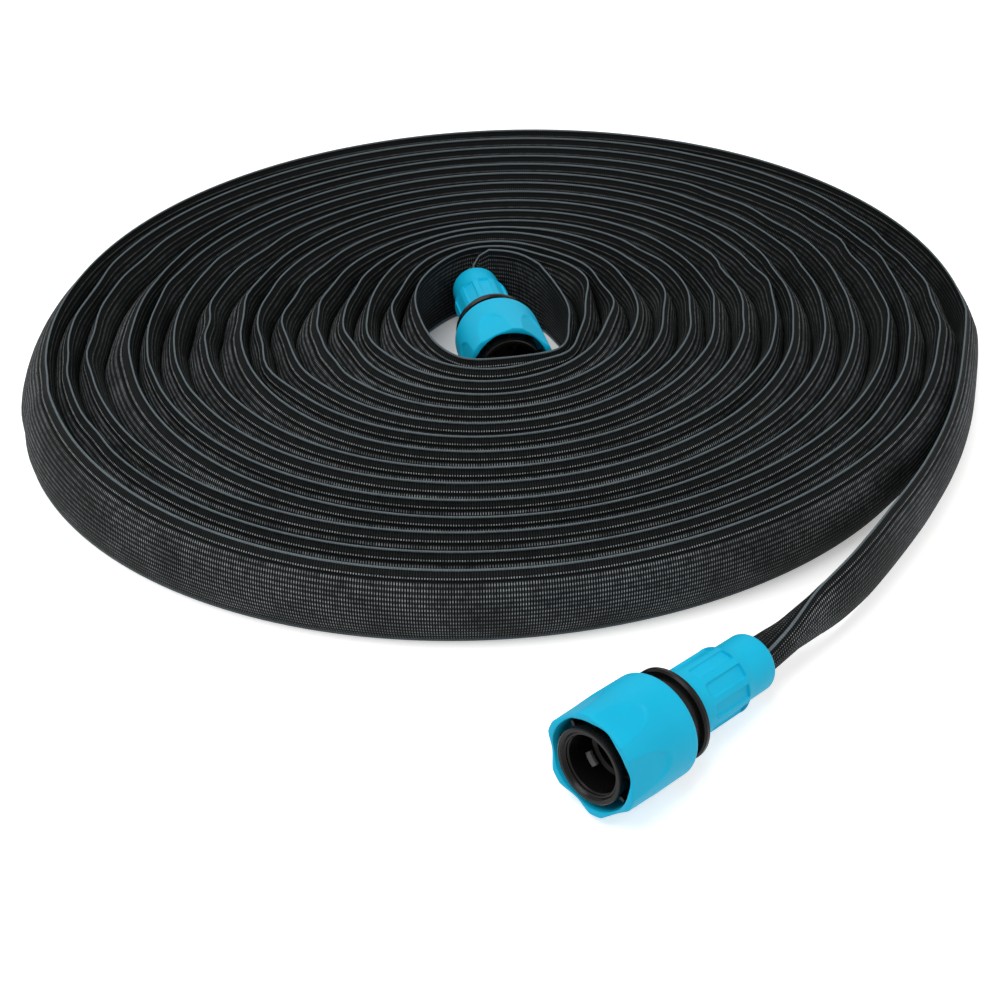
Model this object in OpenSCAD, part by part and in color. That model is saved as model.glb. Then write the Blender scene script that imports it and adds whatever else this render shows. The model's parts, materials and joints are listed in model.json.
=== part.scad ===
// Flat soaker hose: a coil of flat fabric hose standing on its edge, with a
// quick connector on each end. Millimetres, +Z up, the floor at z = 0 and the
// middle of the coil at the origin. The coil winds outward clockwise, seen
// from above, from its start at the back.

/* [Hose] */
// Height of the hose, standing on its edge
hose_width = 29.5; // [24:0.5:36]
// Thickness where the hose lies free and partly open
hose_thick = 8.8; // [6:0.1:9]
// Thickness where the hose is pressed flat
flat_thick = 2.4; // [2:0.1:3]
// Thickness of the corded edges
edge_thick = 1.1; // [0.8:0.1:1.4]
// Least free space between two turns of the coil
turn_gap = 1.2; // [1.1:0.1:1.6]
// How far out the middle of the hose leans at the sides of the coil, from its upper edge
lean = 2; // [0:0.1:3]
// Wall of the hose end, gathered round inside the nut
end_wall = 1.15; // [0.8:0.05:1.5]
// How deep the hose end goes into the threaded neck
end_depth = 7.5; // [6:0.1:9]

/* [Coil] */
// Whole turns of the coil
turns = 15; // [8:1:18]
// Part of a turn after the whole ones, in degrees
last_angle = 90; // [60:15:120]
// Mean distance from one turn to the next
turn_step = 9.47; // [8:0.01:11]
// Mean radius at which the coil starts
start_r = 24.7; // [20:0.1:28]
// Mean radius of the hole in the middle
hole_r = 34.5; // [33:0.1:37]
// How far the hole is drawn out lengthwise, each way
hole_long = 6.2; // [5:0.1:8]
// How far the first turns bulge round the back of the inner connector
bulge = 13.2; // [12.5:0.1:16]

/* [Connector body] */
// Radius of the water bore
bore_r = 4; // [3.4:0.1:4.4]
// Wall of the spigot that carries the hose end
spigot_wall = 1.4; // [1:0.1:1.8]
// How far the spigot's barbs stand out
barb_out = 0.3; // [0.2:0.05:0.5]
// Wall of the threaded neck
neck_wall = 1.9; // [1.5:0.1:2.3]
// Length of the neck between the nut and the collar
neck_bare = 1.9; // [1.5:0.1:3]
// How far the collar stands out from the barrel
collar_out = 1.9; // [1.4:0.1:2.6]
// Thickness of the collar
collar_t = 2.3; // [1.5:0.1:3]
// Length of the barrel ahead of the collar, which guides the sleeve
barrel_len = 10.6; // [9:0.1:12]
// Wall of the barrel
barrel_wall = 1.65; // [1.3:0.05:2]

/* [Socket] */
// Radius of the bore that a plug's nose seals in
nose_r = 8; // [7.6:0.1:8.6]
// Length of the bore that a plug's nose seals in
nose_len = 8.5; // [7:0.1:9.5]
// Step from that bore out to the wide mouth, which takes a plug's shoulder
mouth_step = 1; // [0.9:0.1:1.4]
// Length of the wide mouth
mouth_len = 10; // [9.5:0.1:12]
// Wall of the socket tube round the mouth
socket_wall = 2.7; // [2.4:0.1:3.2]
// Length of the socket's rear end, inside the barrel
socket_in = 5.5; // [5:0.1:6.5]
// Guide ribs round the mouth
rib_count = 9; // [6:1:12]
// How far a guide rib stands out
rib_out = 1.6; // [1:0.1:2]

/* [Sleeve] */
// Wall of the sleeve round the mouth
rim_wall = 2.5; // [2.2:0.1:3]
// How far the corners of the sleeve's rim stand ahead of the socket
rim_out = 1.6; // [1.5:0.1:2.2]
// How deep the rim is scooped out between its corners
scoop = 1.4; // [0.8:0.1:1.5]
// Thumb flats round the sleeve
flat_count = 6; // [4:1:8]
// Depth of a thumb flat at the rim
flat_depth = 1.5; // [0.8:0.1:1.6]
// Length of a thumb flat
flat_len = 21; // [15:1:25]
// Length of the ring inside the sleeve that holds the claws in
lock_len = 4.8; // [4.2:0.1:5.4]
// Open gap between the sleeve and the collar at rest
sleeve_gap = 3.8; // [3:0.1:4.5]

/* [Nut] */
// Wall of the nut's rear cap
cap_wall = 1.1; // [0.9:0.1:1.6]
// Length of the rear cap
cap_len = 14.7; // [13:0.1:16]
// Wall of the gripping part
grip_wall = 1.5; // [1.3:0.1:2]
// Length of the gripping part
grip_len = 21.4; // [20:0.1:25]
// Panels pressed into the gripping part
panel_count = 10; // [6:1:12]
// Depth of a panel
panel_depth = 0.6; // [0.3:0.1:0.7]
// Width of a panel
panel_w = 4; // [3:0.1:4.4]
// Thread pitch, which the nut travels in one turn
pitch = 1.5; // [1:0.1:1.7]

/* [Small pieces] */
// Wall of the clamp ring
collet_wall = 1; // [0.8:0.1:1.1]
// Claws round the socket
claw_count = 4; // [3:1:4]
// Width of a claw
claw_w = 4.4; // [3:0.1:5]
// Length of a claw from its hinge to its tip
claw_len = 7.6; // [6.8:0.1:8.4]
// Wire thickness of the sleeve's spring
wire_d = 0.7; // [0.5:0.1:0.8]
// Curls of the sleeve's spring
curls = 5; // [3:1:6]
// Cord thickness of the seal ring
seal_d = 1.25; // [1:0.05:1.4]

/* [Placing] */
// Inner connector's nut end, to the right of the middle
inner_x = -7.7; // [-8.5:0.1:-7]
// Inner connector's nut end, behind the middle
inner_y = 41.2; // [41:0.1:42]
// Inner connector's nut end, above the floor
inner_z = 15.2; // [14:0.1:17]
// Inner connector's heading, in degrees from straight back
inner_turn = -11.3; // [-13:0.1:-10]
// Inner connector's tilt, in degrees
inner_tilt = 5.1; // [4:0.1:6]
// Front connector's nut end, to the right of the middle
front_x = 78.8; // [75:0.1:82]
// Front connector's nut end, in front of the middle
front_y = -180.6; // [-185:0.1:-180]
// Front connector's heading, in degrees from straight back
front_turn = 45.1; // [40:0.1:50]
// Front connector's tilt, in degrees
front_tilt = 5.6; // [4:0.1:7]

/* [Hidden] */

$fn = 96;

// Clearances
fit = 0.05;      // a round piece in its seat
guide = 0.1;     // a thread on its neck
play = 0.3;      // pieces that move past each other
seat = 0.3;      // end faces that stay just apart
floor_gap = 0.15; // the front connector over the floor

// Colours
fabric = "#17191a";
black = "#141414";
blue = "#1fb8e0";
grey = "#6a6c6c";
steel = "#b8bcc0";
rubber = "#0c0c0c";
clear = "#c9d2d4";

// Places along a connector, from the nut's rear face toward the mouth
grip_end = cap_len + grip_len;
neck_at = cap_len + seat;
collar_at = grip_end + neck_bare;
collar_end = collar_at + collar_t;
barrel_end = collar_end + barrel_len;
socket_at = barrel_end - socket_in;
disc_t = 2;
disc_in = 0.9;                               // the flow disc's seat in the socket's rear end
disc_room = 2;                               // from the disc to the plug's bore
disc_at = barrel_end - disc_in;
nose_at = disc_at + disc_t + disc_room;
nose_end = nose_at + nose_len;
mouth_end = nose_end + mouth_len;
rim_end = mouth_end + rim_out;
sleeve_at = collar_end + sleeve_gap;
sleeve_travel = sleeve_gap - seat - guide;
lock_ahead = 3.3;                            // the claws' tips ahead of the plug's bore
lock_end = nose_end + lock_ahead;
lock_at = lock_end - lock_len;
claw_hinge_at = lock_end - claw_len;
hose_out = pitch + 0.7;                      // the hose end behind the nut
hose_in = neck_at + end_depth;
rear_wall = 2.2;                             // the nut's rear face
collet_at = rear_wall + seat;
seal_at = socket_at + 2.4;
seal_room = seal_d + 0.5;
nose_lead = 0.8;                             // the taper that leads a plug in
claw_heel = 0.6;                             // the claw behind its hinge
arm_t = socket_wall - 1.4;

// Radii on the hose side, from the water bore outward
spigot_r = bore_r + spigot_wall;
end_bore_r = spigot_r + barb_out + fit;
end_r = end_bore_r + end_wall;
neck_bore_r = end_r + play + guide;
neck_r = neck_bore_r + neck_wall;
nut_bore_r = neck_r + guide;
grip_r = nut_bore_r + grip_wall;
collet_r = end_r + guide + collet_wall;
cap_bore_r = collet_r + play;
cap_r = cap_bore_r + cap_wall;

// Radii on the plug's side, from the nose's bore outward
disc_r = nose_r - 1.1;
mouth_r = nose_r + mouth_step;
socket_r = mouth_r + socket_wall;
claw_hinge_r = (mouth_r + socket_r) / 2;
lock_r = socket_r + play;
spring_sides = 16;
spring_r = (socket_r + seat / 2 + wire_d / 2) / cos(180 / spring_sides);
sleeve_bore_r = spring_r + wire_d / 2 + 2 * guide;
barrel_r = sleeve_bore_r - play;
barrel_bore_r = barrel_r - barrel_wall;
plug_r = barrel_bore_r - guide;
collar_r = barrel_r + collar_out;
rib_r = socket_r + rib_out;
rim_bore_r = rib_r + 2 * play;
sleeve_r = rim_bore_r + rim_wall;

// Placing: a connector's own axis runs along +Z from the nut to the mouth, and
// its +Y points up once it lies down.
function unit(v) = v / norm(v);
function rear_way(turn, tilt) = [sin(turn) * cos(tilt), cos(turn) * cos(tilt), -sin(tilt)];

front_z = floor_gap + sleeve_r * cos(front_tilt) - (sleeve_at + 2) * sin(front_tilt);
front_at = [front_x, front_y, front_z];
inner_at = [inner_x, inner_y, inner_z];
front_rear = rear_way(front_turn, front_tilt);
inner_rear = rear_way(inner_turn, inner_tilt);
front_roll = 15;
inner_roll = 51;

module lay(at, turn, tilt, roll) {
    translate(at) rotate([90 - tilt, 0, -turn]) rotate([0, 0, roll]) children();
}

module lay_front() {
    lay(front_at, front_turn, front_tilt, front_roll) children();
}

module lay_inner() {
    lay(inner_at, inner_turn, inner_tilt, inner_roll) children();
}

// Swept tubes: each ring lists the same number of points
function tube_faces(rings, sides) = concat(
    [for (i = [0:rings - 2], j = [0:sides - 1]) let (k = (j + 1) % sides)
        [i * sides + j, (i + 1) * sides + j, (i + 1) * sides + k]],
    [for (i = [0:rings - 2], j = [0:sides - 1]) let (k = (j + 1) % sides)
        [i * sides + j, (i + 1) * sides + k, i * sides + k]],
    [for (j = [1:sides - 2]) [0, j, j + 1]],
    [for (j = [1:sides - 2]) [for (k = [j + 1, j, 0]) (rings - 1) * sides + k]]
);

module tube(rings) {
    polyhedron([for (r = rings) each r], tube_faces(len(rings), len(rings[0])));
}

// A ring square to the way: x runs to the way's right and y upward
function ring_at(at, way, outline) =
    let (side = unit(cross(way, [0, 0, 1])), up = cross(side, unit(way)))
    [for (p = outline) at + side * p[0] + up * p[1]];

function mix(a, b, share) = a + (b - a) * share;

// Sections of 8 points: a square with its corners off, and a flat hose between two corded edges
corner_share = 1 - sqrt(0.5);
function band(w, h) =
    let (c = corner_share * min(w, h), x = w / 2, y = h / 2)
    [[-x, c - y], [c - x, -y], [x - c, -y], [x, c - y], [x, y - c], [x - c, y], [c - x, y], [-x, y - c]];
function lens(thick) =
    let (e = edge_thick / 2, x = thick / 2, y = hose_width / 2)
    [[-x, -y / 2], [-e, -y], [e, -y], [x, -y / 2], [x, y / 2], [e, y], [-e, y], [-x, y / 2]];

// The coil
loop_rings = 24;
loop_step = 360 / loop_rings;
rings_total = turns * loop_rings + round(last_angle / loop_step);
bulge_spread = 25;
hole_heading = 14;
oval_start = 4.3;
oval_step = 0.7;
skew_start = 1.2;
skew_step = 0.3;
side_shift = 1.3;
pairing = 2;
pair_spread = 20;

// Angle from the back, from -180 to 180
function from_back(a) = (a + 180) % 360 - 180;

// Radius that the winding would have with room for every turn; at the back the turns lie in pairs
function loose_r(t) = let (a = 360 * t)
    start_r + turn_step * t + side_shift * sin(a) + (oval_start - oval_step * t) * cos(2 * a)
    + (skew_start + skew_step * t) * sin(2 * a)
    + pairing * cos(180 * t) * exp(-pow(from_back(a) / pair_spread, 2));

// Radius of the first turn, which lies round the inner connector
function first_r(a) = hole_r + hole_long * cos(2 * (a + hole_heading))
    + bulge * exp(-pow(from_back(a) / bulge_spread, 2));

// How much longer a step measured outward is than one measured square to the first turn
function steep(a) =
    let (rise = first_r(a + loop_step) - first_r(a - loop_step), run = first_r(a) * loop_step * PI / 90)
    norm([1, rise / run]);

// Every later turn lies outside the one before it
function coil_r(i) = i <= loop_rings
    ? first_r(i * loop_step)
    : max(loose_r(i / loop_rings), coil_r(i - loop_rings) + (flat_thick + turn_gap) * steep(i * loop_step));

function coil_point(i) = let (a = i * loop_step, r = coil_r(i)) [r * sin(a), r * cos(a), hose_width / 2];

coil_path = [for (i = [1:rings_total]) coil_point(i)];
coil_last = len(coil_path) - 1;

// The end rings stand square to the straight stretches that they close
function coil_way(i) =
    let (a = coil_path[max(i - 1, 0)], b = coil_path[i], c = coil_path[min(i + 1, coil_last)])
    unit((i == 0 ? [0, 0, 0] : unit(b - a)) + (i == coil_last ? [0, 0, 0] : unit(c - b)));

// Distance from a point to the line from a to b
function reach(p, a, b) =
    let (ab = b - a, s = min(1, max(0, (p - a) * ab / (ab * ab))))
    norm(p - a - s * ab);

// Room from a ring to the next turn out, or to the one further in
function room(i, turn) =
    let (p = coil_path[i], k = i + turn * loop_rings, m = min(coil_last - 1, max(1, k)))
    k < 0 || k > coil_last ? hose_thick + turn_gap
    : min(reach(p, coil_path[m - 1], coil_path[m]), reach(p, coil_path[m], coil_path[m + 1]));

// The hose bellies out as far as half of the room allows
function belly(room) = max(flat_thick, min(hose_thick, room - turn_gap)) / 2;

// The last rings narrow to where the free stretch goes on
end_rings = 4;
function fullness(i) = min(1, (coil_last - i) / end_rings);
function belly_out(i) = mix(flat_thick / 2, belly(room(i, 1)), fullness(i));

// The first turn stays flat on its inner side, next to the inner connector
function belly_in(i) = i < loop_rings ? flat_thick / 2 : mix(flat_thick / 2, belly(room(i, -1)), fullness(i));

// The section: [inward, up], from the flat lower edge that the coil stands on
edge = edge_thick / 2;
function coil_section(i) =
    let (y = hose_width / 2, out = lean * pow(sin((i + 1) * loop_step), 2) * fullness(i))
    [
        [-edge - 2 * out, -y], [edge - 2 * out, -y], [belly_in(i) - out, 0],
        [edge, y], [-edge, y], [-belly_out(i) - out, 0]
    ];

coil_rings = [for (i = [0:coil_last]) ring_at(coil_path[i], coil_way(i), coil_section(i))];

least_gap = min([for (i = [0:coil_last - loop_rings - 1], k = [-1, 0])
    reach(coil_rings[i][5], coil_rings[i + loop_rings + k][2], coil_rings[i + loop_rings + k + 1][2])]);
echo(least_gap_between_turns = least_gap);

module hose_coil() {
    under = 3 * coil_r(rings_total);
    color(fabric) difference() {
        tube(coil_rings);
        translate([0, 0, -hose_width]) cube([under, under, hose_width], center = true);
    }
}

// The free stretches: each stop is [x, y, how far the gathered hose has opened out flat]
lead_stops = [
    [86, -174, 0.15], [95, -163, 0.35], [105, -151, 0.6], [118, -136, 0.85], [133, -116, 1],
    [146, -95, 1], [158, -73, 1], [167, -52, 1], [173, -30, 1]
];
lead_thick = 0.7 * hose_thick;
tail_stops = [[-8.4, 45.3, 0.65], [-6.8, 46.5, 0.9], [-2.5, 47.1, 1], [4, 46.8, 1]];
end_flat = 2 * end_r * cos(22.5);

function stop_at(s, from) = [s[0], s[1], mix(from[2], hose_width / 2, s[2])];
function stop_band(s, thick) =
    let (round_end = band(end_flat, end_flat), flat = lens(thick))
    [for (k = [0:len(flat) - 1]) mix(round_end[k], flat[k], s[2])];
function stop_way(p, i) = unit(unit(p[i + 1] - p[i]) + unit(p[i] - p[i - 1]));

// Rings from a connector's hose end, through the stops, to an end of the coil
function free_rings(from, way, stops, thick, to, to_way) =
    let (p = concat([from], [for (s = stops) stop_at(s, from)], [to]), n = len(stops))
    concat(
        [ring_at(from, way, band(end_flat, end_flat))],
        [for (i = [0:n - 1]) ring_at(p[i + 1], stop_way(p, i + 1), stop_band(stops[i], thick))],
        [ring_at(to, to_way, lens(flat_thick))]
    );

module hose_lead() {
    from = front_at + front_rear * hose_out;
    color(fabric)
        tube(free_rings(from, front_rear, lead_stops, lead_thick, coil_path[coil_last], -coil_way(coil_last)));
}

module hose_tail() {
    from = inner_at + inner_rear * hose_out;
    color(fabric) tube(free_rings(from, inner_rear, tail_stops, flat_thick, coil_path[0], coil_way(0)));
}

// Turned pieces are drawn as outlines of [radius, place along the axis]
function corner(x, y, r, from, to, steps = 5) =
    [for (k = [0:steps]) let (a = from + (to - from) * k / steps) [x + r * cos(a), y + r * sin(a)]];

thread_turns = 6;
thread_depth = 0.5;
barb_count = 3;
barb_step = 3;

module body() {
    spigot_at = collet_at + 0.8;
    cavity_end = hose_in + 0.5;
    web_end = socket_at - seat;
    flange_t = neck_bare - 0.4;
    flange_r = neck_r + 1;
    lead_in = 0.5;
    edge = 0.6;
    color(black) difference() {
        rotate_extrude() polygon(concat(
            [[bore_r, spigot_at], [spigot_r - lead_in, spigot_at], [spigot_r, spigot_at + 2 * lead_in]],
            [for (k = [0:barb_count - 1], q = [[0, 0], [barb_out, barb_out], [0, barb_step - 0.7]])
                [spigot_r + q[0], spigot_at + 2 + barb_step * k + q[1]]],
            [[spigot_r, cavity_end], [neck_bore_r, cavity_end]],
            [[neck_bore_r, neck_at + 2.5], [neck_r - 1, neck_at], [neck_r, neck_at]],
            [[neck_r, collar_at - flange_t], [flange_r, collar_at - flange_t], [flange_r, collar_at]],
            [[collar_r - edge, collar_at], [collar_r, collar_at + edge]],
            [[collar_r, collar_end - edge], [collar_r - edge, collar_end], [barrel_r, collar_end]],
            [[barrel_r, barrel_end], [barrel_bore_r, barrel_end], [barrel_bore_r, web_end]],
            [[bore_r, web_end]]
        ));
        for (k = [1:thread_turns])
            translate([0, 0, neck_at + k * pitch]) rotate_extrude()
                polygon([[neck_r + 1, -thread_depth], [neck_r - thread_depth, 0], [neck_r + 1, thread_depth]]);
    }
}

// Claw places round the socket
claw_start = 30;
function claw_angle(i) = claw_start + 360 / claw_count * (i - 1);

module claw_shape(i, inner, outer, from, to, width) {
    rotate([0, 0, claw_angle(i)]) translate([inner, -width / 2, from]) cube([outer - inner, width, to - from]);
}

module socket() {
    groove_from = seal_at - seal_room / 2;
    groove_to = seal_at + seal_room / 2;
    groove_r = plug_r - seal_d;
    shoulder = barrel_end + fit;
    lip = 0.5;
    rib_from = lock_end + seat;
    rib_w = 1;
    root = 0.5;
    claw_from = claw_hinge_at - claw_heel - seat;
    claw_room = claw_w + 2 * play;
    beyond = socket_r + 3;
    color(black) difference() {
        union() {
            rotate_extrude() polygon(concat(
                [[bore_r, socket_at], [plug_r, socket_at], [plug_r, groove_from], [groove_r, groove_from]],
                [[groove_r, groove_to], [plug_r, groove_to], [plug_r, shoulder], [socket_r, shoulder]],
                corner(socket_r - lip, mouth_end - lip, lip, 0, 90),
                [[mouth_r + lip, mouth_end], [mouth_r, mouth_end - lip]],
                [[mouth_r, nose_end], [nose_r, nose_end - nose_lead], [nose_r, nose_at]],
                [[disc_r + fit, nose_at], [disc_r + fit, disc_at - fit], [bore_r, disc_at - fit]]
            ));
            for (k = [0:rib_count - 1])
                rotate([0, 0, 360 / rib_count * k]) translate([socket_r - root, -rib_w / 2, rib_from])
                    cube([rib_out + root, rib_w, mouth_end - 0.7 - rib_from]);
        }
        for (i = [1:claw_count]) {
            claw_shape(i, mouth_r + fit, beyond, claw_from, rib_from, claw_room);
            claw_shape(i, nose_r - 1, beyond, nose_end + 0.7, rib_from, claw_room);
        }
    }
}

// The claw's arm lies inside the socket's wall, and its tooth reaches into the mouth
module claw(i) {
    inner = claw_hinge_r - arm_t / 2;
    outer = claw_hinge_r + arm_t / 2;
    back = socket_r - play / 2;
    rear = claw_hinge_at - claw_heel;
    tooth = nose_r + play / 2;
    tooth_t = 1.8;
    slope = tooth_t / 2;
    color(grey) intersection() {
        rotate_extrude() polygon([
            [inner, rear], [outer, rear], [outer, lock_end - tooth_t], [back, lock_end - tooth_t],
            [back, lock_end], [tooth + slope, lock_end], [tooth, lock_end - slope],
            [tooth, lock_end - tooth_t], [inner, lock_end - tooth_t]
        ]);
        claw_shape(i, tooth - 1, socket_r + 1, rear - 1, lock_end + 1, claw_w);
    }
}

module seal() {
    cord_d = seal_d - fit;
    color(rubber) translate([0, 0, seal_at]) rotate_extrude()
        translate([plug_r - cord_d / 2, 0]) circle(d = cord_d, $fn = 24);
}

module flow_disc() {
    hole_d = 2.8;
    hole_at = disc_r - 2.2;
    boss = 5.6;
    boss_h = 1.5;
    root = 0.5;
    color(grey) difference() {
        union() {
            translate([0, 0, disc_at]) cylinder(r = disc_r, h = disc_t);
            translate([-boss / 2, -boss / 2, disc_at + disc_t - root]) cube([boss, boss, boss_h + root]);
        }
        for (k = [0:3])
            rotate([0, 0, 90 * k])
                translate([hole_at, 0, disc_at - 1]) cylinder(d = hole_d, h = disc_t + 2, $fn = 24);
    }
}

module spring() {
    sides = 6;
    from = barrel_end + seat;
    to = lock_at - seat;
    rise = to - from - wire_d;
    total = curls * spring_sides;
    color(steel) tube([for (i = [0:total])
        let (a = 360 / spring_sides * i, z = from + wire_d / 2 + rise * i / total, way = [cos(a), sin(a), 0])
        [for (j = [0:sides - 1]) let (b = -360 / sides * j)
            way * (spring_r + wire_d / 2 * cos(b)) + [0, 0, z + wire_d / 2 * sin(b)]]]);
}

module sleeve() {
    round_r = 2;
    rim_r = sleeve_r - 0.3;
    lip = 0.5;
    flare = 2;
    half_flat = sleeve_r * sin(180 / flat_count);
    scoop_r = (half_flat * half_flat + scoop * scoop) / (2 * scoop);
    color(blue) difference() {
        rotate_extrude() polygon(concat(
            [[sleeve_bore_r, sleeve_at]],
            corner(sleeve_r - round_r, sleeve_at + round_r, round_r, -90, 0),
            [[sleeve_r, rim_end - 2 * flare], [rim_r, rim_end - lip], [rim_r - lip, rim_end]],
            [[rim_bore_r, rim_end - flare], [rim_bore_r, lock_end], [lock_r, lock_end], [lock_r, lock_at]],
            [[sleeve_bore_r, lock_at]]
        ));
        for (k = [0:flat_count - 1])
            rotate([0, 0, 360 / flat_count * k])
                translate([sleeve_r - flat_depth, 0, rim_end])
                    rotate([0, -atan(flat_depth / flat_len), 0])
                        translate([0, -sleeve_r, -3 * flat_len]) cube([sleeve_r, 2 * sleeve_r, 4 * flat_len]);
        for (k = [0:flat_count - 1])
            rotate([0, 0, 360 / flat_count * k])
                translate([0, 0, rim_end + scoop_r - scoop])
                    rotate([0, 90, 0]) cylinder(r = scoop_r, h = 2 * sleeve_r);
    }
}

// The clamp ring: six slots leave fingers that the nut's cap presses on the hose end
module collet() {
    bore = end_r + guide;
    to = cap_len + 1;
    taper = 2.3;
    slots = 6;
    slot_w = 1.4;
    ring_len = 4;
    color(clear) difference() {
        rotate_extrude() polygon([
            [bore, collet_at], [collet_r, collet_at], [collet_r, to - taper],
            [bore + collet_wall / 3, to], [bore, to]
        ]);
        for (k = [0:slots - 1])
            rotate([0, 0, 360 / slots * k])
                translate([0, -slot_w / 2, collet_at + ring_len]) cube([collet_r + 1, slot_w, to]);
    }
}

module panel() {
    rotate([0, 90, 0]) linear_extrude(grip_r) {
        circle(d = panel_w, $fn = 32);
        translate([0, -panel_w / 2]) square([grip_len - panel_w, panel_w]);
    }
}

module nut() {
    round_r = 2;
    bead = 0.1;
    lip = 0.5;
    mouth = end_r + play;
    roof = cap_len - 0.2;
    color(blue) difference() {
        rotate_extrude() polygon(concat(
            [[mouth, 0]],
            corner(cap_r - round_r, round_r, round_r, -90, 0),
            [[cap_r, cap_len - 1], [grip_r - 3 * bead, cap_len], [grip_r + bead, cap_len + 4 * bead]],
            [[grip_r + bead, cap_len + 1], [grip_r, cap_len + 1.2]],
            [[grip_r, grip_end - lip], [grip_r - lip, grip_end], [nut_bore_r, grip_end]],
            [[nut_bore_r, roof], [cap_bore_r, roof], [cap_bore_r, rear_wall], [mouth, rear_wall]]
        ));
        for (k = [0:panel_count - 1])
            rotate([0, 0, 360 / panel_count * k])
                translate([grip_r - panel_depth, 0, grip_end - panel_w / 2 - 3]) panel();
    }
}

module hose_end() {
    color(fabric) rotate_extrude() polygon([
        [end_bore_r, -hose_out], [end_r, -hose_out], [end_r, hose_in], [end_bore_r, hose_in]
    ]);
}

hose_coil();
hose_lead();
hose_tail();

lay_front() body();  // front_body
lay_front() socket();  // front_socket
lay_front() seal();  // front_seal
lay_front() flow_disc();  // front_flow_disc
for (i = [1:claw_count])
    lay_front() claw(i);
lay_front() spring();  // front_spring
lay_front() sleeve();  // front_sleeve
lay_front() collet();  // front_collet
lay_front() nut();  // front_nut
lay_front() hose_end();  // front_hose_end

lay_inner() body();  // inner_body
lay_inner() socket();  // inner_socket
lay_inner() seal();  // inner_seal
lay_inner() flow_disc();  // inner_flow_disc
for (i = [1:claw_count])
    lay_inner() claw(i);
lay_inner() spring();  // inner_spring
lay_inner() sleeve();  // inner_sleeve
lay_inner() collet();  // inner_collet
lay_inner() nut();  // inner_nut
lay_inner() hose_end();  // inner_hose_end
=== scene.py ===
import json
import math

import bmesh
import bpy
from mathutils import Matrix, Vector


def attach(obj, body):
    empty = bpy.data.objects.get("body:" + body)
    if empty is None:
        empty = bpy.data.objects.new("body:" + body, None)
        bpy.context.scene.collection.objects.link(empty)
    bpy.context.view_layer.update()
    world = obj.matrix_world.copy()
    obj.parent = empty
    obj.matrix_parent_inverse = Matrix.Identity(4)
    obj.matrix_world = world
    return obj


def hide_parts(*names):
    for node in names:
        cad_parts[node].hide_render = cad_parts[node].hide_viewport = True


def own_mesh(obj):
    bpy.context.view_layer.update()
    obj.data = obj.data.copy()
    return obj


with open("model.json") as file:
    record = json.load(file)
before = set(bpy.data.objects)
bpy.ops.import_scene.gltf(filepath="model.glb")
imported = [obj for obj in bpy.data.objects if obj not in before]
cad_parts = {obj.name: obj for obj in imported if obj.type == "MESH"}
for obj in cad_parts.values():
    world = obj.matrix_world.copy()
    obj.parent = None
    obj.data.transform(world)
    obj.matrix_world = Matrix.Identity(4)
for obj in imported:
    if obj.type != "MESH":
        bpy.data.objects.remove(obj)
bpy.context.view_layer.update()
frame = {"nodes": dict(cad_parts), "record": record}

MM = 0.001
UP = Vector((0, 0, 1))

# ---------------------------------------------------------------- sizes, in mm, as in the part
HOSE_WIDTH = 29.5
FREE_HALF = 4.9                  # from the middle to the side, where the hose lies free
FULL_HALF = 9.5                  # the same, at most, where it fills the room between two turns
FLAT_THICK = 2.4
TURN_GAP = 1.2
LEAN = 2.0
TURNS = 15
LAST_ANGLE = 90
END_R = 6.0
HOSE_OUT = 2.2
HOSE_IN = 22.5
PRESSED_HALF = 1.3               # half the thickness where the hose is pressed flat
# The flat hose is really HOSE_WIDTH wide, but with that value the cord's check stops the script:
# too much of the coil counts as inside itself.
FRONT = dict(at=(78.8, -180.6, 11.973), turn=45.1, tilt=5.6, roll=15)
INNER = dict(at=(-7.7, 41.2, 15.2), turn=-11.3, tilt=5.1, roll=51)


def place(spot):
    """Matrix of a connector: its own +Z runs from the nut to the mouth."""
    return (Matrix.Translation(Vector(spot["at"]) * MM)
            @ Matrix.Rotation(math.radians(-spot["turn"]), 4, "Z")
            @ Matrix.Rotation(math.radians(90 - spot["tilt"]), 4, "X")
            @ Matrix.Rotation(math.radians(spot["roll"]), 4, "Z")
            @ Matrix.Scale(MM, 4))


# ---------------------------------------------------------------- camera, light and floor, in metres
CAMERA_AT = (0.0024, -0.5709, 0.3610)
AIM_AT = (0.0024, -0.0828, 0)
LENS = 62.07
SENSOR = 36
FLOOR_HALF = 4
FLOOR_Z = -0.0002                # just under the hose


def make_camera():
    data = bpy.data.cameras.new("camera")
    cam = bpy.data.objects.new("camera", data)
    bpy.context.scene.collection.objects.link(cam)
    data.sensor_width = SENSOR
    data.lens = LENS
    data.clip_start = 0.01
    data.clip_end = 20
    cam.location = CAMERA_AT
    cam.rotation_euler = (Vector(AIM_AT) - cam.location).to_track_quat("-Z", "Y").to_euler()
    bpy.context.scene.camera = cam


def area_light(name, at, aim, size, power, color=(1, 1, 1)):
    data = bpy.data.lights.new(name, "AREA")
    data.shape = "DISK"
    data.size = size
    data.energy = power
    data.color = color
    light = bpy.data.objects.new(name, data)
    light.location = at
    light.rotation_euler = (Vector(aim) - Vector(at)).to_track_quat("-Z", "Y").to_euler()
    bpy.context.scene.collection.objects.link(light)


def seen_rays(tree):
    """1 for the rays that show a surface: straight to the camera, in gloss and through clear parts."""
    path = tree.nodes.new("ShaderNodeLightPath")
    total = path.outputs["Is Camera Ray"]
    for name in ("Is Glossy Ray", "Is Transmission Ray"):
        more = tree.nodes.new("ShaderNodeMath")
        more.operation = "MAXIMUM"
        tree.links.new(total, more.inputs[0])
        tree.links.new(path.outputs[name], more.inputs[1])
        total = more.outputs[0]
    return total


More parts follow.
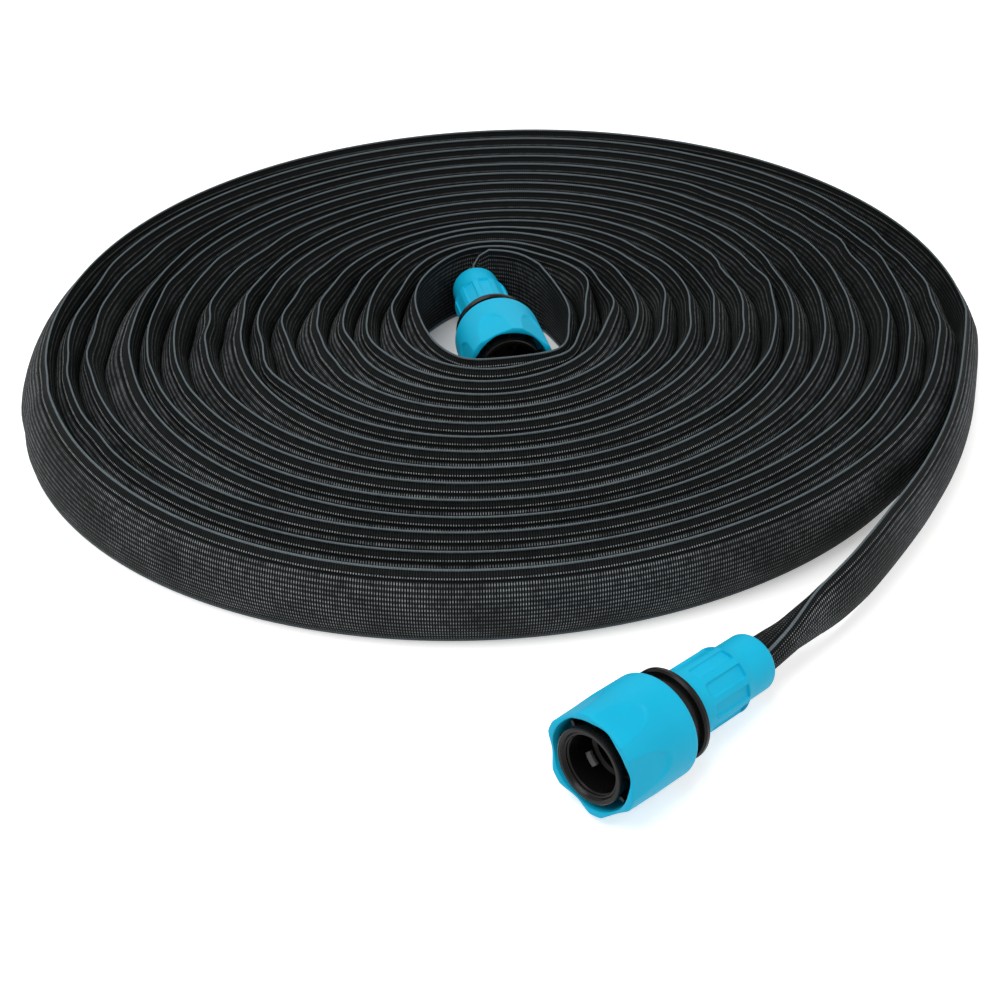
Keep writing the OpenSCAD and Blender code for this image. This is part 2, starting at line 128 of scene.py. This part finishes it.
def make_world():
    world = bpy.data.worlds.new("studio")
    bpy.context.scene.world = world
    world.use_nodes = True
    tree = world.node_tree
    tree.nodes.clear()
    out = tree.nodes.new("ShaderNodeOutputWorld")
    room = tree.nodes.new("ShaderNodeBackground")
    room.inputs["Color"].default_value = (0.98, 0.99, 1, 1)
    room.inputs["Strength"].default_value = 0.42
    white = tree.nodes.new("ShaderNodeBackground")
    white.inputs["Color"].default_value = (1, 1, 1, 1)
    white.inputs["Strength"].default_value = 1
    mix = tree.nodes.new("ShaderNodeMixShader")
    tree.links.new(seen_rays(tree), mix.inputs["Fac"])
    tree.links.new(room.outputs[0], mix.inputs[1])
    tree.links.new(white.outputs[0], mix.inputs[2])
    tree.links.new(mix.outputs[0], out.inputs["Surface"])


make_camera()
make_world()
area_light("key", (-0.35, -0.35, 1.05), (0, 0, 0), 0.9, 9.4)
area_light("fill", (0.75, -0.45, 0.7), (0, 0, 0), 0.8, 2.6)
area_light("back", (0.0, 0.85, 0.8), (0, 0, 0), 0.9, 0.6)
bpy.context.scene.view_settings.view_transform = "Standard"


# ---------------------------------------------------------------- node materials
class Tree:
    """Short names for the shader nodes that the materials below use."""

    def __init__(self, name):
        self.material = bpy.data.materials.new(name)
        self.material.use_nodes = True
        self.tree = self.material.node_tree
        self.tree.nodes.clear()
        self.out = self.node("ShaderNodeOutputMaterial")
        self.shader = self.node("ShaderNodeBsdfPrincipled")
        self.link(self.shader.outputs[0], self.out.inputs["Surface"])

    def node(self, kind, **settings):
        n = self.tree.nodes.new(kind)
        for key, value in settings.items():
            setattr(n, key, value)
        return n

    def link(self, a, b):
        self.tree.links.new(a, b)

    def feed(self, socket, value):
        if isinstance(value, (int, float, tuple)):
            socket.default_value = value
        else:
            self.link(value, socket)

    def math(self, op, a, b=0.0, c=0.0):
        n = self.node("ShaderNodeMath", operation=op)
        for socket, value in zip(n.inputs, (a, b, c)):
            self.feed(socket, value)
        return n.outputs[0]

    def ramp(self, value, low, high, to_low=0.0, to_high=1.0):
        n = self.node("ShaderNodeMapRange", interpolation_type="SMOOTHSTEP")
        for socket, v in zip(n.inputs, (value, low, high, to_low, to_high)):
            self.feed(socket, v)
        return n.outputs[0]

    def noise(self, scale, detail=2.0, rough=0.5, at=None):
        n = self.node("ShaderNodeTexNoise")
        n.inputs["Scale"].default_value = scale
        n.inputs["Detail"].default_value = detail
        n.inputs["Roughness"].default_value = rough
        self.link(at or self.node("ShaderNodeTexCoord").outputs["Object"], n.inputs["Vector"])
        return n.outputs[0]

    def mix(self, share, a, b):
        n = self.node("ShaderNodeMix", data_type="RGBA")
        self.feed(n.inputs[0], share)
        self.feed(n.inputs[6], a)
        self.feed(n.inputs[7], b)
        return n.outputs[2]

    def bump(self, height, distance, strength=1.0):
        n = self.node("ShaderNodeBump")
        n.inputs["Strength"].default_value = strength
        n.inputs["Distance"].default_value = distance
        self.link(height, n.inputs["Height"])
        self.link(n.outputs[0], self.shader.inputs["Normal"])

    def set(self, **values):
        for key, value in values.items():
            self.feed(self.shader.inputs[key.replace("_", " ")], value)


def fabric_material():
    """Woven hose: rows of knit stitches whose light dots are a painted sheen, two grooves near each edge
    and a corded edge.
    """
    t = Tree("hose_weave")
    uv = t.node("ShaderNodeUVMap", uv_map="weave")
    split = t.node("ShaderNodeSeparateXYZ")
    t.link(uv.outputs[0], split.inputs[0])
    along = split.outputs[0]
    inner = t.ramp(split.outputs[1], 49, 51)
    across = t.math("MULTIPLY_ADD", inner, -100, split.outputs[1])
    side = t.math("ABSOLUTE", across)
    grain = t.noise(420, 2)
    drift = t.noise(9, 2)

    def wave(value, pitch, shift=0.0):
        turned = t.math("MULTIPLY_ADD", value, 2 * math.pi / pitch, shift)
        return t.math("MULTIPLY_ADD", t.math("COSINE", turned), 0.5, 0.5)

    def band(low, high):
        return t.math("MULTIPLY", t.ramp(side, low - 0.06, low + 0.06),
                      t.ramp(side, high + 0.06, high - 0.06))

    columns = wave(along, 0.85)
    dots = t.ramp(columns, 0.45, 0.85)
    rows = t.ramp(wave(across, 1.7), 0.4, 0.8, 0.16, 1)
    patchy = t.ramp(t.noise(38, 2), 0.35, 0.65, 0.45, 1)
    knit_sheen_rows = t.math("MULTIPLY", t.math("MULTIPLY", rows, patchy), t.ramp(side, 11.0, 10.9))
    near_edge = t.math("MAXIMUM", band(11.75, 12.2), t.math("MULTIPLY", band(12.4, 13.9), 0.06))
    low_edge = t.math("MULTIPLY", band(12.95, 13.35), t.ramp(across, 0, -1, 0, 0.7))
    # Painted sheen: the dots follow the real knit, but their light colour stands in for the sheen on the
    # stitch loops.
    lit = t.math("MULTIPLY", dots, t.math("MAXIMUM", knit_sheen_rows, t.math("MAXIMUM", near_edge, low_edge)))
    lit = t.math("MULTIPLY", lit, t.ramp(grain, 0.25, 0.65, 0.35, 1))
    # Painted shade: on the inner face, towards the middle of the coil, the sheen is dimmed to 0.4.
    lit = t.math("MULTIPLY", lit, t.ramp(inner, 0, 1, 1, 0.4))
    cord = t.math("MAXIMUM", t.ramp(side, 14.02, 14.1), t.ramp(across, -13.45, -13.6))
    ground = t.mix(drift, (0.0016, 0.0018, 0.0019, 1), (0.0032, 0.0036, 0.0038, 1))
    # The light colour mixed over the ground here is the painted sheen of the stitches.
    color = t.mix(lit, ground, (0.3, 0.325, 0.333, 1))
    edge = t.mix(t.math("MULTIPLY_ADD", wave(along, 0.9), 0.4, t.math("MULTIPLY", grain, 0.5)),
                 (0.055, 0.07, 0.077, 1), (0.165, 0.2, 0.215, 1))
    color = t.mix(cord, color, edge)
    t.set(Base_Color=color, Roughness=t.ramp(grain, 0.2, 0.8, 0.65, 0.9), Specular_IOR_Level=0.06)
    height = t.math("ADD", t.math("MULTIPLY", lit, 0.8), t.math("MULTIPLY", grain, 0.35))
    t.bump(height, 0.00015, 0.7)
    return t.material


def plastic_material(name, low, high, rough, coarse=60, fine=900, bump=0.00002, shine=0.45):
    t = Tree(name)
    broad = t.noise(coarse, 3)
    grain = t.noise(fine, 2)
    t.set(Base_Color=t.mix(t.ramp(broad, 0.3, 0.7), low, high),
          Roughness=t.ramp(t.math("ADD", t.math("MULTIPLY", broad, 0.6), t.math("MULTIPLY", grain, 0.4)),
                           0.3, 0.7, rough[0], rough[1]),
          Specular_IOR_Level=shine)
    t.bump(t.math("ADD", grain, t.math("MULTIPLY", broad, 2.0)), bump, 0.6)
    return t.material


def floor_material():
    """White floor that keeps a pale shadow; its glow seen by the camera fades out towards the middle, a
    painted shade under the coil and in its hole.
    """
    t = Tree("floor_white")
    t.set(Base_Color=t.mix(t.noise(3, 2), (0.86, 0.86, 0.855, 1), (0.88, 0.88, 0.875, 1)), Roughness=0.9,
          Specular_IOR_Level=0.1)
    glow = t.node("ShaderNodeEmission")
    glow.inputs["Color"].default_value = (1, 0.995, 0.985, 1)
    seen = seen_rays(t.tree)
    spot = t.node("ShaderNodeTexCoord").outputs["Object"]
    reach = t.node("ShaderNodeVectorMath", operation="LENGTH")
    t.link(spot, reach.inputs[0])
    # Painted shade: no glow within 0.1 m of the middle, full glow from 0.19 m on.
    outside = t.ramp(reach.outputs["Value"], 0.1, 0.19, 0.0, 0.52)
    t.link(t.math("MULTIPLY", seen, outside), glow.inputs["Strength"])
    both = t.node("ShaderNodeAddShader")
    t.link(t.shader.outputs[0], both.inputs[0])
    t.link(glow.outputs[0], both.inputs[1])
    t.link(both.outputs[0], t.out.inputs["Surface"])
    return t.material


FABRIC = fabric_material()
BLUE = plastic_material("blue_plastic", (0.003, 0.40, 0.62, 1), (0.005, 0.43, 0.66, 1), (0.44, 0.56),
                        shine=0.15)
BLACK = plastic_material("black_plastic", (0.003, 0.0027, 0.0025, 1), (0.005, 0.0046, 0.0042, 1),
                         (0.2, 0.32), shine=0.16)
GREY = plastic_material("grey_plastic", (0.10, 0.10, 0.098, 1), (0.13, 0.13, 0.127, 1), (0.3, 0.42))
RUBBER = plastic_material("seal_rubber", (0.004, 0.004, 0.004, 1), (0.007, 0.007, 0.007, 1), (0.6, 0.75))
CLEAR = plastic_material("clear_plastic", (0.55, 0.6, 0.61, 1), (0.62, 0.67, 0.68, 1), (0.25, 0.35))


def steel_material():
    t = Tree("spring_steel")
    t.set(Base_Color=t.mix(t.noise(200, 3), (0.5, 0.51, 0.52, 1), (0.62, 0.63, 0.64, 1)),
          Metallic=1.0, Roughness=t.ramp(t.noise(1200), 0.2, 0.8, 0.25, 0.4))
    t.bump(t.noise(1500), 0.00001, 0.5)
    return t.material


STEEL = steel_material()
FINISH = {"black_plastic": BLACK, "grey_plastic": GREY, "blue_plastic": BLUE, "seal_rubber": RUBBER,
          "spring_steel": STEEL, "clear_plastic": CLEAR, "fabric": FABRIC}
SLOTS = {s["node"]: s["material_slot"] for s in frame["record"]["subparts"]}


def dress(obj, material):
    obj.data.materials.clear()
    obj.data.materials.append(material)


for name, obj in frame["nodes"].items():
    dress(obj, FINISH[SLOTS[name]])

floor = bpy.data.objects.new("floor", bpy.data.meshes.new("floor"))
corners = [(-1, -1), (1, -1), (1, 1), (-1, 1)]
floor.data.from_pydata([(x * FLOOR_HALF, y * FLOOR_HALF, FLOOR_Z) for x, y in corners], [],
                       [(0, 1, 2, 3)])
dress(floor, floor_material())
bpy.context.scene.collection.objects.link(floor)


# ---------------------------------------------------------------- route of the hose, in mm
HOLE_R = 34.5
HOLE_OVAL = 6.2
HOLE_HEAD = 14                   # degrees that the oval hole is turned
BACK_BULGE = 13.2
BULGE_SPREAD = 25
START_R = 24.7
TURN_STEP = 9.47                 # from one turn to the next
MOUTH_ANGLE = 168.7              # where the first turn passes the inner connector's mouth
MOUTH_R = 33.7
DEG_PER_RAD = 57.3
RINGS = 216                      # places worked out in each turn
SPARSE = 8                       # turns near the middle that keep every second one


def bell(x, spread):
    """1 at 0, fading to nothing on either side."""
    return math.exp(-(x / spread) ** 2)


def from_back(a):
    return (a + 180) % 360 - 180


def first_r(a):
    """Radius of the first turn where nothing presses on it; later turns take their slope from it."""
    return (HOLE_R + HOLE_OVAL * math.cos(math.radians(2 * (a + HOLE_HEAD)))
            + BACK_BULGE * bell(from_back(a), BULGE_SPREAD))


def inner_r(a):
    """The first turn: pressed flat by the connector's mouth, and close to the hose's start."""
    r = first_r(a) - 2.6 * bell(a - 112, 16) - 6.5 * bell(a, 16) - 2.8 * bell(a - 360, 18)
    off = abs(a - MOUTH_ANGLE)
    flat = MOUTH_R / math.cos(math.radians(min(off, 45))) + 1.3 * max(0, 1 - (off / 29) ** 2)
    return min(r, flat) if off < 45 else r


def loose_r(t):
    """Radius of the even, slightly oval coil after t turns."""
    a = math.radians(360 * t)
    return (START_R + TURN_STEP * t + 1.3 * math.sin(a) + (4.3 - 0.7 * t) * math.cos(2 * a)
            + (1.2 + 0.3 * t) * math.sin(2 * a))


def steep(a):
    """How much further apart along a radius two turns lie, where the first turn runs slantwise."""
    rise = first_r(a + 15) - first_r(a - 15)
    run = first_r(a) * 15 * math.pi / 90
    return math.hypot(1, rise / run)


def steepest(a):
    """The steepness about a place, so that the turns stay round at the back."""
    return max(steep(a - 14), steep(a - 7), steep(a), steep(a + 7), steep(a + 14))


# How far turns lie out of their even spacing, by the side of the coil: {turn: mm outward}
LEFT = {14: -3.7, 13: -1.4, 12: 0.5, 11: -3.2, 10: 0.6, 9: 0.7, 8: 0.1, 7: -2.6, 6: 0.8}
BACK = {2: 8.5, 3: 7.5, 4: 2.5}
PAST_START = {1: 8.0}
FRONT_SIDE = {14: 2.3, 13: 1.7, 11: 1.4, 10: 1.2}
RIGHT = {15: 3.0, 14: 1.0, 13: 1.3, 12: 2.6, 9: -1.4, 8: 1.3, 6: -0.9, 5: 0.8}


LEFT_ANGLE = 262
SHIFTS = ((LEFT_ANGLE, LEFT), (180, FRONT_SIDE), (84, RIGHT), (-10, BACK), (30, PAST_START))
SHIFT_SPREAD = 42


def uneven(i):
    """Sum of the shifts near a place of the coil."""
    total = 0
    for side, shifts in SHIFTS:
        for turn, shift in shifts.items():
            total += shift * bell(i * 360 / RINGS - turn * 360 - side, SHIFT_SPREAD)
    return total


def pulse(k):
    """A repeatable number from 0 to 1 for each whole k."""
    x = math.sin(k * 127.1 + 311.7) * 43758.5453
    return x - math.floor(x)


def kinks(seed, count, depth):
    """Small bends of the hose at its sides: [angle in all, depth, half length]."""
    made = []
    for k in range(count):
        turn = 1.1 + 14.0 * (k + 0.5) / count + 0.4 * (pulse(seed + k) - 0.5)
        side = 75 if pulse(seed + 50 + k) < 0.55 else LEFT_ANGLE
        angle = side + 46 * (pulse(seed + 100 + k) + pulse(seed + 150 + k) - 1)
        way = 1 if pulse(seed + 250 + k) < 0.5 else -1
        size = depth * (0.35 + 0.65 * pulse(seed + 200 + k)) * way
        made.append((360 * math.floor(turn) + angle, size, 7 + 7 * pulse(seed + 300 + k)))
    return made


def bend_at(a, made, r):
    """How far the small bends move the hose sideways at an angle, on a turn of radius r."""
    total = 0
    for at, depth, half in made:
        d = (a - at) * r / DEG_PER_RAD / half
        if abs(d) < 3:
            total += depth * math.exp(-d * d) * math.cos(1.2 * d)
    return total


def coil_rows():
    """Radius of the lower and the upper edge of the hose at each place of the coil."""
    step = 360 / RINGS
    total = round((TURNS + LAST_ANGLE / 360) * RINGS)
    low, high = [], []
    common, top = kinks(1, 90, 1.6), kinks(900, 80, 1.1)
    clear = FLAT_THICK + TURN_GAP
    for i in range(total + 1):
        a = i * step
        side = math.sin(math.radians(a))
        out = LEAN * side * side - 0.7 * max(0, -math.cos(math.radians(a))) ** 4
        if i <= RINGS:
            high.append(inner_r(a))
            low.append(inner_r(a) + 2 * out)
            continue
        r = loose_r(i / RINGS) + uneven(i)
        last = 3.6 * bell(a - 14 * 360 - LEFT_ANGLE, 38)
        calm = min(1, (total - i) / 40, (i - RINGS) / 40)
        shared = calm * bend_at(a, common, r)
        wave = calm * (bend_at(a, top, r) * 0.6 + 0.4 * math.sin(math.radians(0.73 * a + 40)))
        before = clear * steepest(a)
        low.append(max(r + 2 * (out + last) + shared - wave, low[i - RINGS] + before))
        high.append(max(r + shared + wave, high[i - RINGS] + before))
    return smooth(low), smooth(high)


def smooth(radii):
    """The same radii, each corner eased over 5 mm on either side, or 9 mm in the first turns."""
    made = []
    for i, r in enumerate(radii):
        reach = 9 if i < 3 * RINGS else 5
        n = min(round(reach * RINGS / (2 * math.pi * r)), i, len(radii) - 1 - i)
        near = [(n + 1 - abs(k), radii[i + k]) for k in range(-n, n + 1)]
        made.append(sum(w * v for w, v in near) / sum(w for w, v in near))
    return made


def bellies(low, high):
    """Half thickness outward and inward at each place: each turn fills its share of the room."""
    middle = [(a + b) / 2 for a, b in zip(low, high)]
    count = len(middle)
    outward, inward = [FREE_HALF] * count, [PRESSED_HALF] * count
    for i in range(count):
        a, b = middle[max(i - 1, 0)], middle[min(i + 1, count - 1)]
        slope = math.hypot(1, (b - a) / (middle[i] * 4 * math.pi / RINGS))
        outward[i] += 0.3 * math.sin(0.021 * i) + 0.2 * math.sin(0.053 * i + 1)
        outward[i] += 2.2 * bell(i * 360 / RINGS - 14 * 360 - 96, 24)
        if 280 < i * 360 / RINGS < 350:         # beside the inner nut
            inward[i] = 0.9
        if i + RINGS < count:
            room = (middle[i + RINGS] - middle[i]) / slope + 0.3
            share = 0.5 + 0.05 * math.sin(0.037 * i + 2) + 0.04 * math.sin(0.013 * i)
            outward[i] = min(FULL_HALF, room * share)
            inward[i + RINGS] = min(FULL_HALF, room * (1 - share))
    return outward, inward


def curve_through(points, step):
    """A smooth line through the points, about step apart."""
    made = []
    ends = [points[0] * 2 - points[1]] + points + [points[-1] * 2 - points[-2]]
    for a, b, c, d in zip(ends, ends[1:], ends[2:], ends[3:]):
        n = max(1, round((c - b).length / step))
        for k in range(n):
            s = k / n
            made.append(0.5 * (2 * b + (c - a) * s + (2 * a - 5 * b + 4 * c - d) * s * s
                               + (3 * b - a - 3 * c + d) * s * s * s))
    return made + [points[-1]]


def ring(at, open_=1.0, lean=0.0, outward=PRESSED_HALF, inward=PRESSED_HALF, roll=0.0):
    """One section of the hose: open_ is 0 for the round gathered end and 1 for the flat hose."""
    return dict(at=at, open=open_, lean=lean, outward=outward, inward=inward, roll=roll)


def blend(a, b, share):
    return a + (b - a) * share


def ease(x):
    x = min(1, max(0, x))
    return x * x * (3 - 2 * x)


FREE_STEP = 4                    # between the sections of a free stretch
TWIST_LEN = 36                   # in which the twist behind a nut fades


def free_stretch(spot, stops, joins, right, left, roll, slant):
    """The stretch from a nut to the coil; it opens out flat, and its twist at the nut fades."""
    axis = place(spot).to_3x3() @ Vector((0, 0, -1000))
    start = Vector(spot["at"]) - axis * 1.5
    middle_z = HOSE_WIDTH / 2
    plan = [(start, 0.0), (start + axis * 4.5, 0.02)]
    plan += [(Vector((x, y, start.z + (middle_z - start.z) * s)), s) for x, y, s in stops]
    plan += [(join["at"], 1.0) for join in joins]
    points = curve_through([p for p, s in plan], FREE_STEP)
    marks, shares = [0.0], [0.0]
    for (p, s), (q, u) in zip(plan, plan[1:]):
        marks.append(marks[-1] + (q - p).length)
        shares.append(u)
    span = marks[-1 - len(joins)]
    made, along = [], 0.0
    for k, p in enumerate(points):
        along += (p - points[k - 1]).length if k else 0
        if along > marks[-len(joins)] - 2:
            break
        j = max(i for i in range(len(marks) - 1) if marks[i] <= along + 1e-6)
        share = blend(shares[j], shares[j + 1], (along - marks[j]) / (marks[j + 1] - marks[j]))
        late = ease((along - span * 0.45) / (span * 0.55))
        end = joins[0]
        lean = end["lean"] * late - slant * share * (1 - late)
        made.append(ring(p, share, lean, blend(right, end["outward"], late),
                         blend(left, end["inward"], late), roll * (1 - ease(along / TWIST_LEN))))
    return made


def route():
    """Rings from the front nut round to the inner nut."""
    low, high = coil_rows()
    outward, inward = bellies(low, high)
    total = len(low) - 1
    coil = []
    for i in range(total, RINGS * 32 // 360, -1):
        if i < SPARSE * RINGS and i % 2:
            continue
        a = math.radians(i * 360 / RINGS)
        r = (low[i] + high[i]) / 2
        coil.append(ring(Vector((r * math.sin(a), r * math.cos(a), HOSE_WIDTH / 2)),
                         lean=(high[i] - low[i]) / HOSE_WIDTH, outward=outward[i],
                         inward=blend(2.6, inward[i], ease((total - i) / 40))))
    for k, one in enumerate(coil[-12:]):
        for way in ("outward", "inward"):
            one[way] = blend(one[way], PRESSED_HALF, (k + 1) / 12)
    lead_stops = [(86.5, -173.4, 0.15), (97, -163.4, 0.4), (108.3, -152.6, 0.7), (118.5, -140.6, 0.9),
                  (128.5, -126.5, 1), (137.8, -112.5, 1), (146.5, -98.2, 1), (157.3, -77.5, 1),
                  (166.5, -55.5, 1), (173.8, -32, 1)]
    tail_stops = [(-8.3, 45.2, 0.3), (-6.8, 46.6, 0.7), (-2.5, 47.2, 1), (3.5, 46.6, 1), (9.5, 43.9, 1),
                  (14.6, 38.9, 1)]
    lead = free_stretch(FRONT, lead_stops, [coil[0], coil[3]], 4.6, 1.6, 38, 0.03)
    tail = free_stretch(INNER, tail_stops, [coil[-1], coil[-4]], 1.25, 1.25, 0, 0)
    for one in tail:
        one["outward"], one["inward"] = one["inward"], one["outward"]
        one["lean"] = -one["lean"]
    return lead, coil, tail[::-1]


# ---------------------------------------------------------------- the hose
# Half of the section, from the top edge down to the middle: [height, half thickness of the edge's cord]
EDGE = [(14.75, 0.0), (14.6, 0.25), (14.3, 0.34), (13.95, 0.2)]
FACE = [13.1, 11.6, 9.3, 6.4, 3.2, 0.0]
FOLD = 13.95


def half_section(half):
    """Points [height, thickness] of one face, from the top edge to the bottom one."""
    upper = EDGE + [(y, 0.2 + (half - 0.2) * (1 - (y / FOLD) ** 2.4)) for y in FACE]
    return upper + [(-y, x) for y, x in reversed(upper[:-1])]


def section(outward, inward):
    return half_section(outward) + [(y, -x) for y, x in half_section(inward)[-2:0:-1]]


def build_hose():
    lead, coil, tail = route()
    rings = lead + coil + tail
    count = len(rings)
    plain = section(2.0, 2.0)
    sides = len(plain)
    bm = bmesh.new()
    layer = bm.loops.layers.uv.new("weave")
    arc = [0.0]
    for (y0, x0), (y1, x1) in zip(plain, plain[1:] + plain[:1]):
        arc.append(arc[-1] + math.hypot(y1 - y0, x1 - x0))
    rows, marks, along = [], [], 0.0
    for k, one in enumerate(rings):
        p, open_ = one["at"], one["open"]
        before, after = rings[max(k - 1, 0)]["at"], rings[min(k + 1, count - 1)]["at"]
        if k:
            along += (p - before).length
        marks.append(along)
        way = (after - before).normalized()
        side = way.cross(UP).normalized()
        up = side.cross(way)
        c, s = math.cos(math.radians(one["roll"])), math.sin(math.radians(one["roll"]))
        right, over = side * c - up * s, side * s + up * c
        closed = 1 - open_
        row = []
        for j, (y, x) in enumerate(section(one["outward"], one["inward"])):
            angle = 2 * math.pi * arc[j] / arc[-1]
            fold = 0.97 - 0.05 * math.cos(10 * angle) * closed
            yy = y * open_ + END_R * fold * math.cos(angle) * closed
            xx = x * open_ + END_R * fold * math.sin(angle) * closed
            row.append(bm.verts.new((p + right * (xx + one["lean"] * yy) + over * yy) * MM))
        rows.append(row)
    for k in range(count - 1):
        for j in range(sides):
            i = (j + 1) % sides
            face = bm.faces.new((rows[k][j], rows[k][i], rows[k + 1][i], rows[k + 1][j]))
            face.smooth = True
            far = 100 if j >= sides // 2 else 0
            heights = (plain[j][0] + far, plain[i][0] + far, plain[i][0] + far, plain[j][0] + far)
            ends = (marks[k], marks[k], marks[k + 1], marks[k + 1])
            for loop, u, v in zip(face.loops, ends, heights):
                loop[layer].uv = (u, v)
    bm.faces.new(rows[0])
    bm.faces.new(rows[-1][::-1])
    bmesh.ops.recalc_face_normals(bm, faces=bm.faces)
    hose = add_piece("hose", bm, FABRIC, "hose")
    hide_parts("hose_coil", "hose_lead", "hose_tail")
    return along


def add_piece(name, bm, material, body):
    mesh = bpy.data.meshes.new(name)
    bm.to_mesh(mesh)
    bm.free()
    piece = bpy.data.objects.new(name, mesh)
    bpy.context.scene.collection.objects.link(piece)
    dress(piece, material)
    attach(piece, body)
    return piece


# ---------------------------------------------------------------- turned pieces, along a connector's axis
SHARP = math.radians(35)         # edges steeper than this stay sharp


def turned(name, spot, count, outline, material, slot, body):
    """A closed ring: outline(angle) lists [radius, place] points round the wall, for each angle."""
    matrix = place(spot)
    bm = bmesh.new()
    rows = []
    for k in range(count):
        angle = 2 * math.pi * k / count
        c, s = math.cos(angle), math.sin(angle)
        rows.append([bm.verts.new(matrix @ Vector((r * c, r * s, z))) for r, z in outline(angle)])
    sides = len(rows[0])
    for k in range(count):
        a, b = rows[k], rows[(k + 1) % count]
        for j in range(sides):
            i = (j + 1) % sides
            bm.faces.new((a[j], a[i], b[i], b[j])).smooth = True
    bmesh.ops.recalc_face_normals(bm, faces=bm.faces)
    for edge in bm.edges:
        if len(edge.link_faces) == 2 and edge.calc_face_angle(0) > SHARP:
            edge.smooth = False
    return add_piece(name, bm, material, body)


def rounded(x, y, r, start, end, steps=4):
    """Points of a rounded corner about [x, y]."""
    turns = [math.radians(start + (end - start) * k / steps) for k in range(steps + 1)]
    return [(x + r * math.cos(a), y + r * math.sin(a)) for a in turns]


def nearest(angle, count):
    """Angle from the middle of the nearest of count like places."""
    step = 2 * math.pi / count
    return (angle + step / 2) % step - step / 2


SLEEVE_R = 16.4
SLEEVE_AT = 45.1
RIM_END = 73.4
SCOOP = 0.75
FLAT_LEN = 15.5
FLAT_HALF = 6.4


def sleeve_outline(angle):
    off = nearest(angle, 6)
    lateral = SLEEVE_R * math.sin(off) / FLAT_HALF
    arch = math.sqrt(max(0, 1 - lateral * lateral))
    rim = RIM_END - SCOOP * 0.5 * (1 + math.cos(math.pi * min(1, abs(lateral))))

    def outer(z):
        ahead = z - (RIM_END - FLAT_LEN * arch)
        share = ease((ahead + 0.5) / 1.6) * ease(arch * 4)
        deep = 0.62 + 0.65 * (z - RIM_END + FLAT_LEN) / FLAT_LEN
        flat = min(SLEEVE_R, (SLEEVE_R - deep) / math.cos(off))
        return blend(SLEEVE_R, flat, share)

    wall = [(12.99, SLEEVE_AT + 0.4), (12.99, 61.0), (12.0, 61.0), (12.0, 65.8), (13.9, 65.8)]
    wall += [(13.9, rim - 2.4), (14.1, rim - 0.8)]
    tip = outer(rim)
    wall += [(min(14.3, tip - 0.6), rim - 0.12), (min(14.5, tip - 0.4), rim), (tip - 0.35, rim)]
    wall += [(tip - 0.1, rim - 0.1), (outer(rim - 0.35), rim - 0.35)]
    start, stop = rim - 0.9, SLEEVE_AT + 2.2
    steps = 48
    wall += [(outer(z), z) for z in (start + (stop - start) * k / steps for k in range(steps + 1))]
    wall += rounded(SLEEVE_R - 2, SLEEVE_AT + 2, 2, 0, -90, 7)
    return wall + [(13.3, SLEEVE_AT)]


NUT_END = 36.1
CAP_LEN = 14.7
CAP_R = 9.4
GRIP_R = 10.8
PANELS = 10


def nut_outline(angle):
    off = nearest(angle, PANELS)

    def outer(z):
        lateral = abs(off) * GRIP_R - 2.2
        front, rear = z - (NUT_END - 5.4), (CAP_LEN - 1) - z
        dx, dz = lateral + 0.9, max(front, rear) + 0.9
        edge = math.hypot(max(dx, 0), max(dz, 0)) + min(max(dx, dz), 0) - 0.9
        return blend(GRIP_R, (GRIP_R - 0.8) / math.cos(off), ease(0.5 - edge / 0.35))

    wall = [(7.2, 0.3)] + [(7.4, 0)] + rounded(CAP_R - 2, 2, 2, -90, 0, 7)
    wall += [(CAP_R, 6), (CAP_R, 10), (CAP_R, CAP_LEN - 1.1), (CAP_R + 0.15, CAP_LEN - 0.8)]
    wall += [(GRIP_R - 0.35, CAP_LEN), (GRIP_R + 0.05, CAP_LEN + 0.25), (GRIP_R + 0.1, CAP_LEN + 0.55)]
    steps = 46
    start, stop = CAP_LEN + 0.8, NUT_END - 0.6
    wall += [(outer(z), z) for z in (start + (stop - start) * k / steps for k in range(steps + 1))]
    wall += [(GRIP_R - 0.12, NUT_END - 0.2), (GRIP_R - 0.5, NUT_END), (9.3, NUT_END), (9.3, 14.5)]
    return wall + [(8.3, 14.5), (8.3, 2.2), (7.2, 2.2)]


def lip_outline(angle):
    """The wide chamfer in front of the socket's tube, which leads a plug in."""
    wear = 0.02 * math.cos(3 * angle)
    wall = [(9.3, 72.54), (9.35, 73.0), (9.8, 73.05), (10.25 + wear, 73.85), (10.45, 74.02)]
    wall += [(11.35, 74.05), (11.65, 73.85)]
    return wall + [(11.8, 73.2), (11.8, 71.6), (11.7, 71.4), (11.6, 72.54)]


def end_outline(angle):
    """The gathered end of the hose over the spigot, in soft folds."""
    fold = 0.12 * math.cos(10 * angle) + 0.05 * math.cos(23 * angle)
    wall = [(5.75, -HOSE_OUT + 0.5), (5.75, HOSE_IN), (6.7, HOSE_IN), (6.85, HOSE_IN - 0.4)]
    wall += [(6.85 - (0.75 - fold) * (1 - z / HOSE_IN), z) for z in (16, 10, 5, 2, 0.5, -1)]
    return wall + [(5.95, -HOSE_OUT + 0.1), (5.85, -HOSE_OUT)]


def compress_spring(side):
    """Gives the return spring a mesh of its own; its length stays as it is."""
    spring = frame["nodes"][side + "_spring"]
    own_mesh(spring)


def build_connector(side, spot):
    sleeve = turned(side + "_sleeve_skin", spot, 288, sleeve_outline, BLUE, "blue_plastic",
                    side + "_sleeve")
    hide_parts(side + "_sleeve")
    nut = turned(side + "_nut_skin", spot, 320, nut_outline, BLUE, "blue_plastic", side + "_nut")
    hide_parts(side + "_nut")
    end = turned(side + "_gathered_end", spot, 96, end_outline, FABRIC, "fabric", "hose")
    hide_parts(side + "_hose_end")
    turned(side + "_mouth_lip", spot, 96, lip_outline, BLACK, "black_plastic", "hose")
    compress_spring(side)


build_connector("front", FRONT)
build_connector("inner", INNER)
hose_length = build_hose()
print("hose length", round(hose_length), "mm")
